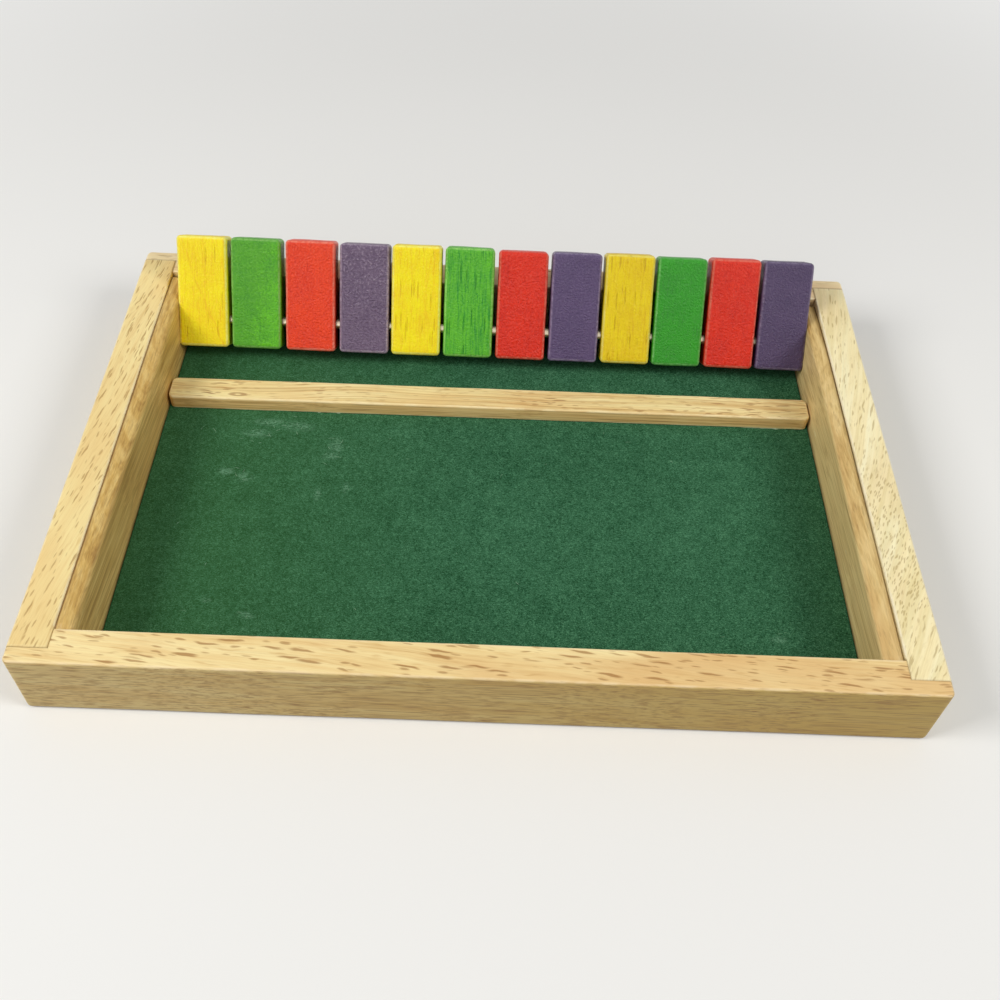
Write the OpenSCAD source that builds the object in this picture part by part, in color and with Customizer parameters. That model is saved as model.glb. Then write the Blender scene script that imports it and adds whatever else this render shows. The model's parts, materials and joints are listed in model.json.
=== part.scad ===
// Shut the box game: a shallow wooden tray with a felt floor and twelve painted number tiles
// that turn on one metal rod. Each tile leans back on the rear rail, or lies forward on a bar.
// Millimetres, +Z up, +Y towards the tiles. The origin is the middle of the underside.

/* [Tray] */
// Depth of the tray, front to back
tray_depth = 162.5; // [150:0.5:190]
// Height of the four outer rails
rail_height = 22.5; // [21.5:0.1:25]
// Thickness of the left and right rails
side_rail_thickness = 10.5; // [8:0.1:14]
// Thickness of the front and back rails
end_rail_thickness = 10.3; // [9:0.1:14]
// Part of the end rails' thickness that runs over the ends of the side rails
tongue_thickness = 4.5; // [2.5:0.1:6]
// Radius of the upright corners of the tray
corner_radius = 1.6; // [1:0.1:2.4]
// Radius that eases the rails' long edges
rail_edge_radius = 0.8; // [0.4:0.1:1.2]

/* [Floor] */
// Thickness of the bottom board
board_thickness = 2; // [1.5:0.1:3]
// How far the bottom board is let in under the rails
board_ledge = 5; // [3:0.1:5.5]
// Thickness of the felt
felt_thickness = 0.8; // [0.5:0.1:1.5]

/* [Side strips] */
// Thickness of the strips inside the side rails
strip_thickness = 4.3; // [3.5:0.1:7]
// How far the top of the left strip lies below the top of the rails
left_strip_drop = 0.2; // [0.2:0.1:3.4]
// How far the top of the right strip lies below the top of the rails
right_strip_drop = 0.6; // [0.2:0.1:3.4]
// How far the top of a strip falls from the rail to its inner edge
strip_fall = 1.6; // [0:0.1:3]
// Radius of the left strip's inner top edge
left_strip_edge_radius = 2.6; // [0.6:0.1:3.2]
// Radius of the right strip's inner top edge
right_strip_edge_radius = 0.9; // [0.6:0.1:3.2]
// Radius of a strip's back top corner
strip_end_radius = 1.2; // [0.6:0.1:5]
// Gap between a strip's back end and the back rail
strip_end_gap = 0.8; // [0.4:0.1:3]

/* [Tiles] */
// Width of one tile
tile_width = 16.3; // [14:0.1:20]
// Length of one tile
tile_length = 35.6; // [31:0.1:40]
// Thickness of one tile
tile_thickness = 10; // [8.5:0.1:11.5]
// Mean gap between two tiles
tile_gap = 1.1; // [0.8:0.1:2.5]
// Radius of a tile's edges
tile_edge_radius = 1.2; // [0.6:0.1:2]
// Distance from a tile's lower end to the rod's axis
tile_heel = 8.5; // [7:0.1:10]

/* [Rod] */
// Diameter of the rod
rod_diameter = 3.2; // [2.5:0.1:4.5]
// Distance from the back rail's inner face to the rod's axis
rod_setback = 12.3; // [12:0.05:15]

/* [Rest bar] */
// Depth of the bar, front to back
bar_depth = 9; // [7:0.1:11]
// How far a tile that is laid forward reaches over the bar
bar_overlap = 5; // [3.5:0.1:6]
// Radius of the bar's top edges
bar_edge_radius = 0.6; // [0.3:0.1:1.6]
// Radius of the bar's four upright corners
bar_corner_radius = 1.8; // [0.5:0.1:3]
// Angle by which the bar is glued on askew
bar_skew = 0.4; // [0:0.1:0.8]
// Gap between each end of the bar and the strip beside it
bar_end_gap = 0.6; // [0.3:0.1:1]

/* [Clearances] */
// Gap between the outer tiles and the strips
row_end_clearance = 0.35; // [0.3:0.05:1]
// Radial gap between the rod and a tile's bore
bore_clearance = 0.08; // [0.04:0.01:0.1]
// Radial gap between the rod and its holes in the strips
rod_seat_clearance = 0.03; // [0.02:0.01:0.06]
// Gap between each end of the rod and the side rail
rod_end_clearance = 0.2; // [0.1:0.1:0.5]
// Gap under the tiles' heels as they swing over the felt
heel_clearance = 0.9; // [0.6:0.1:2]
// Height that is left for the bar's top to clear a tile that lies level
laid_clearance = 0.35; // [0.2:0.05:0.8]
// Gap between a leaning tile and the back rail's edge
lean_clearance = 0.05; // [0.03:0.01:0.2]
// Gap round the bottom board in its ledge
board_clearance = 0.15; // [0.1:0.05:0.4]
// Gap round the felt
felt_clearance = 0.1; // [0.1:0.05:0.5]

/* [Hidden] */
$fn = 48;

tile_count = 12;
// Each tile's own place along the rod, as a share of the gap between two tiles
tile_drift = [-0.2, -0.2, 0.2, 0.4, 0.2, 0.1, 0.2, 0.3, 0.3, 0.2, 0.3, 0.2];
tile_colors = ["gold", "forestgreen", "tomato", "slateblue"];

// Past a solid's faces, so that a cut leaves no skin
cut = 1;

// The row of tiles sets the width between the strips, and so the length of the tray
tile_pitch = tile_width + tile_gap;
row_length = tile_count * tile_width + (tile_count - 1) * tile_gap;
strip_inner_x = row_length / 2 + row_end_clearance;
side_rail_inner_x = strip_inner_x + strip_thickness;
tray_length = 2 * (side_rail_inner_x + side_rail_thickness);

end_rail_inner_y = tray_depth / 2 - end_rail_thickness;
side_rail_length = tray_depth - 2 * tongue_thickness;

felt_top = board_thickness + felt_thickness;
strip_length = 2 * end_rail_inner_y - strip_end_gap;

// A tile's corners swing on this radius round the rod, rounded edges counted
heel_radius = norm([tile_thickness / 2 - tile_edge_radius, tile_heel - tile_edge_radius]) + tile_edge_radius;
rod_y = end_rail_inner_y - rod_setback;
rod_z = felt_top + heel_clearance + heel_radius;

// The back of a tile rests on the rounded inner top edge of the back rail
edge_y = rod_setback + rail_edge_radius;
edge_z = rail_height - rail_edge_radius - rod_z;
edge_offset = tile_thickness / 2 + rail_edge_radius + lean_clearance;
tile_lean = acos(edge_offset / norm([edge_y, edge_z])) - atan2(edge_z, edge_y);

// The bar lies under the tip of a tile that is laid forward
bar_height = rod_z - tile_thickness / 2 - laid_clearance - felt_top;
bar_back_y = rod_y - (tile_length - tile_heel) + bar_overlap;
bar_length = 2 * (strip_inner_x - bar_end_gap);

fixed_nodes = [
    "front_rail", "back_rail", "left_rail", "right_rail", "left_strip", "right_strip",
    "base_panel", "felt", "rest_bar", "pivot_rod"
];

function tile_name(number) = str("tile_", number < 10 ? "0" : "", number);

// Rectangle with four rounded corners, centred
module rounded_rectangle(width, height, radius) {
    square([width - 2 * radius, height], center = true);
    square([width, height - 2 * radius], center = true);
    for (x = [-1, 1], y = [-1, 1])
        translate([x * (width / 2 - radius), y * (height / 2 - radius)])
            circle(r = radius);
}

// Rectangle from the origin whose far corner is rounded
module one_corner_rectangle(width, height, radius) {
    square([width - radius, height]);
    square([width, height - radius]);
    translate([width - radius, height - radius])
        circle(r = radius);
}

// A flat shape drawn as X and Z, pushed along Y and centred on it
module extrude_along_y(length) {
    translate([0, length / 2, 0])
        rotate([90, 0, 0])
            linear_extrude(height = length)
                children();
}

// A flat shape drawn as Y and Z, pushed along X and centred on it
module extrude_along_x(length) {
    translate([-length / 2, 0, 0])
        rotate([90, 0, 90])
            linear_extrude(height = length)
                children();
}

// Block with every edge rounded, centred
module rounded_block(size, radius) {
    intersection() {
        linear_extrude(height = size.z, center = true)
            rounded_rectangle(size.x, size.y, radius);
        extrude_along_y(size.y)
            rounded_rectangle(size.x, size.z, radius);
        extrude_along_x(size.x)
            rounded_rectangle(size.y, size.z, radius);
    }
}

// Outline of the tray from above, with its rounded corners
module tray_outline() {
    rounded_rectangle(tray_length, tray_depth, corner_radius);
}

// Space in the rails' undersides that the bottom board is let into
module board_seat() {
    seat_x = side_rail_inner_x + board_ledge;
    seat_y = end_rail_inner_y + board_ledge;
    translate([-seat_x, -seat_y, -cut])
        cube([2 * seat_x, 2 * seat_y, board_thickness + cut]);
}

// Rail across the front: a full-width tongue outside, and a shorter body between the side rails
module end_rail() {
    difference() {
        intersection() {
            linear_extrude(height = rail_height)
                tray_outline();
            translate([0, 0, rail_height / 2])
                extrude_along_y(tray_depth)
                    rounded_rectangle(tray_length, rail_height, rail_edge_radius);
            translate([0, -(tray_depth - end_rail_thickness) / 2, rail_height / 2])
                extrude_along_x(tray_length)
                    rounded_rectangle(end_rail_thickness, rail_height, rail_edge_radius);
        }
        for (side = [-1, 1])
            translate([side * (side_rail_inner_x + tray_length / 2), 0, rail_height / 2])
                cube([tray_length, side_rail_length, rail_height + 2 * cut], center = true);
        board_seat();
    }
}

module front_rail() {
    color("burlywood") end_rail();
}

module back_rail() {
    color("burlywood") mirror([0, 1, 0]) end_rail();
}

// Rail on the right, between the tongues of the end rails
module side_rail() {
    difference() {
        translate([side_rail_inner_x + side_rail_thickness / 2, 0, rail_height / 2])
            extrude_along_y(side_rail_length)
                rounded_rectangle(side_rail_thickness, rail_height, rail_edge_radius);
        board_seat();
    }
}

module right_rail() {
    color("burlywood") side_rail();
}

module left_rail() {
    color("burlywood") mirror([1, 0, 0]) side_rail();
}

// Section of a strip, with the rail on its left: the top falls inwards and rounds into the inner face
module strip_section(height, edge_radius) {
    slope = atan(strip_fall / strip_thickness);
    centre_x = strip_thickness - edge_radius;
    centre_y = height - centre_x * tan(slope) - edge_radius / cos(slope);
    polygon([
        [0, 0],
        [strip_thickness, 0],
        [strip_thickness, centre_y],
        [centre_x + edge_radius * sin(slope), centre_y + edge_radius * cos(slope)],
        [0, height]
    ]);
    translate([centre_x, centre_y])
        circle(r = edge_radius);
}

// Strip on the right: stands on the bottom board against the side rail, and holds the rod's end
module side_strip(drop, edge_radius) {
    strip_height = rail_height - drop - board_thickness;
    difference() {
        translate([side_rail_inner_x, -strip_end_gap / 2, board_thickness])
            intersection() {
                mirror([1, 0, 0])
                    extrude_along_y(strip_length)
                        strip_section(strip_height, edge_radius);
                translate([-strip_thickness / 2, -strip_length / 2, 0])
                    extrude_along_x(strip_thickness)
                        one_corner_rectangle(strip_length, strip_height, strip_end_radius);
            }
        translate([strip_inner_x - cut, rod_y, rod_z])
            rotate([0, 90, 0])
                cylinder(d = rod_diameter + 2 * rod_seat_clearance, h = strip_thickness + 2 * cut);
    }
}

module right_strip() {
    color("tan") side_strip(right_strip_drop, right_strip_edge_radius);
}

module left_strip() {
    color("tan") mirror([1, 0, 0]) side_strip(left_strip_drop, left_strip_edge_radius);
}

module base_panel() {
    width = 2 * (side_rail_inner_x + board_ledge - board_clearance);
    depth = 2 * (end_rail_inner_y + board_ledge - board_clearance);
    color("peru")
        translate([0, 0, board_thickness / 2])
            cube([width, depth, board_thickness], center = true);
}

module felt() {
    width = 2 * (strip_inner_x - felt_clearance);
    depth = 2 * (end_rail_inner_y - felt_clearance);
    color("darkgreen")
        translate([0, 0, board_thickness + felt_thickness / 2])
            cube([width, depth, felt_thickness], center = true);
}

// Bar glued on the felt, its top edges and its four upright corners rounded
module rest_bar() {
    color("burlywood")
        translate([0, bar_back_y - bar_depth / 2, felt_top])
            rotate([0, 0, bar_skew])
                intersection() {
                    linear_extrude(height = bar_height)
                        rounded_rectangle(bar_length, bar_depth, bar_corner_radius);
                    extrude_along_y(bar_depth)
                        rounded_rectangle(bar_length, 2 * bar_height, bar_edge_radius);
                    extrude_along_x(bar_length)
                        rounded_rectangle(bar_depth, 2 * bar_height, bar_edge_radius);
                }
}

module pivot_rod() {
    length = 2 * (side_rail_inner_x - rod_end_clearance);
    color("lightgray")
        translate([0, rod_y, rod_z])
            rotate([0, 90, 0])
                cylinder(d = rod_diameter, h = length, center = true);
}

// Tile seen in its own frame: the rod's axis is X, and the tile stands along Z
module standing_tile() {
    difference() {
        translate([0, 0, tile_length / 2 - tile_heel])
            rounded_block([tile_width, tile_thickness, tile_length], tile_edge_radius);
        rotate([0, 90, 0])
            cylinder(d = rod_diameter + 2 * bore_clearance, h = tile_width + 2 * cut, center = true);
    }
}

module tile(number) {
    index = number - 1;
    place = (index - (tile_count - 1) / 2) * tile_pitch + tile_drift[index] * tile_gap;
    color(tile_colors[index % len(tile_colors)])
        translate([place, rod_y, rod_z])
            rotate([-tile_lean, 0, 0])
                standing_tile();
}

front_rail();
back_rail();
left_rail();
right_rail();
left_strip();
right_strip();
base_panel();
felt();
rest_bar();
pivot_rod();
for (number = [1:tile_count])
    tile(number);
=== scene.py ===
"""Looks of the shut the box game: wood, paint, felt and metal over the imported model.

Shapes are made in millimetres in each piece's own frame, where X runs along the wood's grain,
and are then placed in the row frame, in metres.
"""

import itertools
import json
import math
import random
from dataclasses import dataclass
from functools import partialmethod

import bmesh
import bpy
from mathutils import Matrix, Vector, noise

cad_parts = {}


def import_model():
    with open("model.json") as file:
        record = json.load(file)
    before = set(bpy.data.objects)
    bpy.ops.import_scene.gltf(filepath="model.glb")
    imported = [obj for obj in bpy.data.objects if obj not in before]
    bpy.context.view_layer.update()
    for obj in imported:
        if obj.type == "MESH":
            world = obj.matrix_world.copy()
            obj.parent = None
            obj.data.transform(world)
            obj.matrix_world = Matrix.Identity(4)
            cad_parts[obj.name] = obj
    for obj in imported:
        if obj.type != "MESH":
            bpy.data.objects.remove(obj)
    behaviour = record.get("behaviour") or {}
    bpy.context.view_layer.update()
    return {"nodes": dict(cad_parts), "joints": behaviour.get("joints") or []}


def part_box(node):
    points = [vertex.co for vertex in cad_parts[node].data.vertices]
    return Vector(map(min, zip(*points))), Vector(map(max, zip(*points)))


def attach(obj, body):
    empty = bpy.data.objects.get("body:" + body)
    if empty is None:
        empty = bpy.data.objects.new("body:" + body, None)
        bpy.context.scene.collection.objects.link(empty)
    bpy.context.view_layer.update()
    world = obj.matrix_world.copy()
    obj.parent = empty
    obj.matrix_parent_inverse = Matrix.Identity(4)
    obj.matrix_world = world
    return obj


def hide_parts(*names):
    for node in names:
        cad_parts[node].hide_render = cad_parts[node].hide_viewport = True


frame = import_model()

MM = 0.001
ROOT = "tray"

# Sizes that a node's box can't give, in millimetres: joints and bores
TONGUE = 4.5
BOARD_LEDGE = 5
BOARD_THICKNESS = 2
BORE_RADIUS = 1.68
ROD_SEAT_RADIUS = 1.63

# Rails and strips: radii of their edges, and where the strips fall, sag and twist
CORNER_RADIUS = 1.6
RAIL_EDGE = 0.8
CRISP_EDGE = 0.4
JOINT_EDGE = 0.08
STRIP_END = 1.2
STRIP_FALL = 1.6
SAG_LENGTH = 34
TWIST_START = 35

# Tiles: the heel reaches from the rod's middle to the lower end, and the foot is added to that
TILE_LENGTH = 35.6
TILE_THICKNESS = 10
TILE_HEEL = 8.5
TILE_EDGE = 1.2
TILE_EDGE_SPREAD = (1.06, 1.3)
TILE_FOOT = 0.25
LEAN_GAP = 0.05

# Bar: its knot is so far from the left end and from the middle line
BAR_DEPTH = 9
BAR_EDGE = 0.6
BAR_FOOT = 0.25
BAR_CORNER = 1.8
BAR_END_GAP = 0.6
BAR_SKEW = math.radians(0.4)
KNOT_FROM_END = 22
KNOT_ASIDE = -2.4

# How far a surface is sanded uneven, and how far apart its swells are
RAIL_SANDING = (0.12, 30)
STRIP_SANDING = (0.1, 24)
BAR_SANDING = (0.12, 16)
TILE_SANDING = (0.14, 9)

# Felt: its upper edge, how far its face swells and lies in, and how far apart the swells are
FELT_EDGE = 0.3
FELT_SWELL = 0.05
FELT_SINK = 0.03
FELT_REACH = 6

# Size of the faces that a sanded surface and the felt are shaped with
SLICE = 2.4
FELT_SLICE = 2.5

# An edge is sharp above this angle, and lies on a plane if its middle is this near to it
SHARP_ANGLE = math.radians(50)
NEAR = 0.01

# noise_vector takes its offsets from this seed, and from the clock without it
noise.seed_set(4)


# ---- sizes from the frame

def box_mm(node):
    """A CAD node's lowest and highest corner, in millimetres."""
    low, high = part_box(node)
    return low / MM, high / MM


def node_size(node):
    low, high = box_mm(node)
    return high - low


def node_centre(node):
    low, high = box_mm(node)
    return (low + high) / 2


def turned(degrees):
    return Matrix.Rotation(math.radians(degrees), 3, "Z")


def placed(centre=Vector((0, 0, 0)), turn=turned(0)):
    """Matrix from a piece's own frame in millimetres to the row frame in metres."""
    return Matrix.Scale(MM, 4) @ Matrix.Translation(centre) @ turn.to_4x4()


rod_axis = Vector(frame["joints"][0]["pos_m"]) / MM
side_inner_x = box_mm("right_rail")[0].x
strip_inner_x = box_mm("right_strip")[0].x
end_inner_y = box_mm("back_rail")[0].y
felt_top = box_mm("felt")[1].z


def tile_lean():
    """Angle by which a tile leans back, with its back on the rounded edge of the back rail."""
    y = end_inner_y - rod_axis.y + RAIL_EDGE
    z = box_mm("back_rail")[1].z - RAIL_EDGE - rod_axis.z
    offset = TILE_THICKNESS / 2 + RAIL_EDGE + LEAN_GAP
    return math.acos(offset / math.hypot(y, z)) - math.atan2(z, y)


# ---- meshes

def cells(xs, ys, zs, solid=lambda x, y, z: True):
    """Closed skin round the cells of a grid whose middles are solid."""
    grid = (xs, ys, zs)
    bm = bmesh.new()
    verts = {}

    def vert(corner):
        if corner not in verts:
            verts[corner] = bm.verts.new([places[i] for places, i in zip(grid, corner)])
        return verts[corner]

    def filled(cell):
        if not all(0 <= i < len(places) - 1 for places, i in zip(grid, cell)):
            return False
        return solid(*[(places[i] + places[i + 1]) / 2 for places, i in zip(grid, cell)])

    for cell in itertools.product(*[range(len(places) - 1) for places in grid]):
        for axis, side in itertools.product(range(3), range(2)):
            beside = list(cell)
            beside[axis] += 2 * side - 1
            if not filled(cell) or filled(beside):
                continue
            square = [(0, 0), (1, 0), (1, 1), (0, 1)]
            corners = []
            for u, v in square if side else [(b, a) for a, b in square]:
                corner = list(cell)
                for turn, step in enumerate((side, u, v)):
                    corner[(axis + turn) % 3] += step
                corners.append(vert(tuple(corner)))
            bm.faces.new(corners)
    return bm


def ease(bm, radius, wanted, segments=3):
    """Rounds the sharp outward edges whose middles are wanted."""
    bm.normal_update()
    edges = [e for e in bm.edges if e.is_convex and e.calc_face_angle(0) > SHARP_ANGLE
             and wanted((e.verts[0].co + e.verts[1].co) / 2)]
    bmesh.ops.bevel(bm, geom=edges, offset=radius, segments=segments, profile=0.5,
                    affect="EDGES", clamp_overlap=True)


def block(size):
    """Plain box, centred."""
    h = size / 2
    return cells([-h.x, h.x], [-h.y, h.y], [-h.z, h.z])


def slice_up(bm, half, step):
    """Cuts the skin into faces of about one step, so that it can be shaped."""
    for axis in range(3):
        normal = Vector([axis == other for other in range(3)])
        count = round(2 * half[axis] / step)
        for i in range(1, count):
            bmesh.ops.bisect_plane(bm, geom=bm.verts[:] + bm.edges[:] + bm.faces[:], dist=0.0001,
                                   plane_co=normal * (2 * half[axis] * i / count - half[axis]),
                                   plane_no=normal)


def settled(point, half, amount, reach, seed):
    """A point moved along a smooth field of noise, but kept inside its box."""
    shift = Vector((seed * 13.7, seed * 5.1, seed * 9.3))
    moved = point + noise.noise_vector(point / reach + shift) * amount
    return Vector([max(-h, min(h, c)) for c, h in zip(moved, half)])


def settle(bm, half, amount, reach, seed):
    """Makes the skin slightly uneven, as hand sanding leaves it."""
    slice_up(bm, half, SLICE)
    for v in bm.verts:
        v.co = settled(v.co, half, amount, reach, seed)


def loft(bm, rings):
    """Closed skin through rings of as many points each."""
    rings = [[bm.verts.new(point) for point in ring] for ring in rings]
    for a, b in zip(rings, rings[1:]):
        for i in range(len(a)):
            j = (i + 1) % len(a)
            bm.faces.new((a[i], a[j], b[j], b[i]))
    bm.faces.new(rings[0][::-1])
    bm.faces.new(rings[-1])


def add_object(name, data):
    made = bpy.data.objects.new(name, data)
    bpy.context.scene.collection.objects.link(made)
    return made


def add_mesh(name, bm):
    mesh = bpy.data.meshes.new(name)
    bm.to_mesh(mesh)
    return add_object(name, mesh)


def take_mesh(made):
    """An object's mesh with its modifiers at work. The object goes."""
    bpy.context.view_layer.update()
    graph = bpy.context.evaluated_depsgraph_get()
    mesh = bpy.data.meshes.new_from_object(made.evaluated_get(graph))
    bpy.data.objects.remove(made)
    return mesh


def drill(bm, centre, axis, radius, length):
    """Bores a round hole through the mesh."""
    bit = bmesh.new()
    turn = axis.to_track_quat("Z", "Y").to_matrix().to_4x4()
    bmesh.ops.create_cone(bit, cap_ends=True, segments=48, radius1=radius, radius2=radius,
                          depth=length, matrix=Matrix.Translation(centre) @ turn)
    holder = add_mesh("drilled", bm)
    cutter = add_mesh("bit", bit)
    bit.free()
    cut = holder.modifiers.new("bore", "BOOLEAN")
    cut.object = cutter
    cut.operation = "DIFFERENCE"
    cut.solver = "EXACT"
    bored = take_mesh(holder)
    bpy.data.objects.remove(cutter)
    bm.clear()
    bm.from_mesh(bored)


def in_order(bm):
    """Sorts corners and faces by place, so that each run stores them alike."""
    for items, place in ((bm.verts, lambda v: v.co[:]),
                         (bm.faces, lambda f: f.calc_center_median()[:])):
        for i, item in enumerate(sorted(items, key=place)):
            item.index = i
        items.sort()


def piece(name, bm, matrix, material, body=ROOT, replaces=()):
    """Turns a shape in its own frame into a piece that rides on a body."""
    in_order(bm)
    for face in bm.faces:
        face.smooth = True
    layer = bm.verts.layers.float_vector.new("local")
    for v in bm.verts:
        v[layer] = v.co
    bm.transform(matrix)
    made = add_mesh(name, bm)
    bm.free()
    made.data.materials.append(material)
    made.modifiers.new("normals", "WEIGHTED_NORMAL").weight = 90
    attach(made, body)
    if replaces:
        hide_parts(*replaces)
    return made


# ---- shader nodes

class Tree:
    """The node tree of a material or world, written with short calls."""

    def __init__(self, name, kind=bpy.data.materials, out="OutputMaterial"):
        self.owner = kind.new(name)
        self.owner.use_nodes = True
        self.nodes = self.owner.node_tree.nodes
        self.links = self.owner.node_tree.links
        self.nodes.clear()
        self.out = self.nodes.new("ShaderNode" + out)

    def put(self, socket, value):
        if isinstance(value, bpy.types.NodeSocket):
            self.links.new(value, socket)
        elif value is not None:
            socket.default_value = value

    def node(self, kind, inputs=None, **settings):
        made = self.nodes.new("ShaderNode" + kind)
        for key, value in settings.items():
            setattr(made, key, value)
        for key, value in (inputs or {}).items():
            self.put(made.inputs[key], value)
        return made

    def math(self, operation, a, b=None, c=None, clamp=False):
        made = self.node("Math", {0: a, 1: b, 2: c}, operation=operation, use_clamp=clamp)
        return made.outputs[0]

    plus = partialmethod(math, "ADD")
    minus = partialmethod(math, "SUBTRACT")
    min = partialmethod(math, "MINIMUM")
    max = partialmethod(math, "MAXIMUM")
    abs = partialmethod(math, "ABSOLUTE")
    scale_add = partialmethod(math, "MULTIPLY_ADD")

    def product(self, *values):
        out = values[0]
        for value in values[1:]:
            out = self.math("MULTIPLY", out, value)
        return out

    def swing(self, value, amount, base):
        """base plus amount times how far a 0 to 1 value lies from its middle."""
        return self.scale_add(self.minus(value, 0.5), amount, base)

    def vector_math(self, operation, a, b):
        return self.node("VectorMath", {0: a, 1: b}, operation=operation).outputs["Vector"]

    moved = partialmethod(vector_math, "ADD")
    away = partialmethod(vector_math, "SUBTRACT")
    scaled = partialmethod(vector_math, "MULTIPLY")

    def length(self, vector):
        return self.node("VectorMath", {0: vector}, operation="LENGTH").outputs["Value"]

    def xyz(self, vector):
        return self.node("SeparateXYZ", {0: vector}).outputs

    def vector(self, x, y, z):
        return self.node("CombineXYZ", {0: x, 1: y, 2: z}).outputs[0]

    def local(self, seed=0):
        """The piece's own coordinates in millimetres, X along the grain, moved on by a seed."""
        here = self.node("Attribute", attribute_name="local").outputs["Vector"]
        return self.moved(here, (seed * 71.3, seed * 17.9, seed * 31.7)) if seed else here

    def noise(self, vector, scale=1.0, detail=2.0, roughness=0.5, distortion=0.0):
        """Soft noise. scale is one number, or three that stretch it along the axes."""
        if isinstance(scale, tuple):
            vector, scale = self.scaled(vector, scale), 1.0
        made = self.node("TexNoise", {"Vector": vector, "Scale": scale, "Detail": detail,
                                      "Roughness": roughness, "Distortion": distortion})
        return made.outputs["Fac"]

    def band(self, value, low, high, start=0.0, end=1.0):
        """Smooth step of value from low to high."""
        made = self.node("MapRange", {"Value": value, "From Min": low, "From Max": high,
                                      "To Min": start, "To Max": end}, interpolation_type="SMOOTHSTEP")
        return made.outputs["Result"]

    def ramp(self, value, stops):
        made = self.node("ValToRGB", {"Fac": value})
        elements = made.color_ramp.elements
        while len(elements) < len(stops):
            elements.new(0.5)
        for element, (place, colour) in zip(elements, stops):
            element.position = place
            element.color = (*colour, 1)
        return made.outputs["Color"]

    def mix(self, factor, a, b):
        a, b = [(*colour, 1) if isinstance(colour, tuple) else colour for colour in (a, b)]
        return self.node("Mix", {0: factor, 6: a, 7: b}, data_type="RGBA").outputs[2]

    def bump(self, height, strength, distance):
        made = self.node("Bump", {"Height": height, "Strength": strength, "Distance": distance})
        return made.outputs["Normal"]

    def surface(self, **inputs):
        """Ends the tree with one Principled shader."""
        return self.end("BsdfPrincipled", {k.replace("_", " "): v for k, v in inputs.items()})

    def end(self, kind, inputs):
        self.links.new(self.node(kind, inputs).outputs[0], self.out.inputs["Surface"])
        return self.owner


def srgb(r, g, b):
    """A colour given as 0 to 255 in sRGB, as linear values."""
    shares = [c / 255 for c in (r, g, b)]
    return tuple(c / 12.92 if c <= 0.04045 else ((c + 0.055) / 1.055) ** 2.4 for c in shares)


def colours(**named):
    return {name: srgb(*colour) for name, colour in named.items()}


def edge_distance(t, size):
    """Distance in millimetres from a block's nearest edge."""
    off_middle = t.node("VectorMath", {0: t.local()}, operation="ABSOLUTE").outputs["Vector"]
    a, b, c = t.xyz(t.away(size / 2, off_middle))
    low, high = t.min(a, b), t.max(a, b)
    return t.max(low, t.min(high, c))


# ---- wood

def dashes(t, lane, length, width, gap, seed):
    """Vessels cut along the grain: spindles of about this length and width, a gap apart."""
    fill = 0.24
    stretched = t.scaled(lane, (2 * fill / length, 2 * fill / width, 2 * fill / width))
    spot = t.node("TexVoronoi", {"Vector": t.moved(stretched, (seed, 0, 0)), "Scale": 1.0})
    dark = t.band(spot.outputs["Distance"], fill * 1.25, fill * 0.6)
    chance = t.node("SeparateColor", {0: spot.outputs["Color"]}).outputs[0]
    return t.product(dark, t.band(chance, gap - 0.12, gap + 0.12))


@dataclass
class Grain:
    """How one piece of wood differs from plain rubberwood."""
    # Slope of the grain across the piece, its change along it, and slope down the piece
    slant: float = 0.0
    curve: float = 0.0
    dive: float = 0.0
    # Where the rings' middle lies, in Y and Z, and how wide they are
    pith: tuple = (60, 25)
    ring: float = 2.6
    # Strength of the broad streaks and of the fine fibres
    streaks: float = 1.0
    fibre: float = 1.0
    # How much more orange the far end is, partly the wood's own tone and partly painted shade where
    # less light falls
    warm: float = 0.0
    # Strength of the pores, how rarely they crowd up, and their size
    pores: float = 1.0
    crowd: float = 0.5
    coarse: float = 1.0
    # Middle and half length of a stretch of fine pores
    speckled: tuple = ()
    # On upright faces: strength of short fibres and pores, of the long lines, how much of those
    # level faces show, and how far at either end the upright faces take their own colour, which is
    # painted light and shade that makes them lighter on some pieces and darker on others
    brushed: float = 1.0
    lines: float = 1.0
    lines_above: float = 0.0
    aged: tuple = (0.1, 0.1)
    # How strong the painted highlight along the edges is, and how dark the painted shadow in a joint
    # line is
    worn: float = 1.0
    seam_depth: float = 0.4
    # Places of a pin knot and of scuffs
    knot: Vector = None
    scuffs: tuple = ()


JOINT_SHADOW = srgb(112, 72, 30)
SCUFFED_WOOD = srgb(236, 226, 184)


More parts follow.
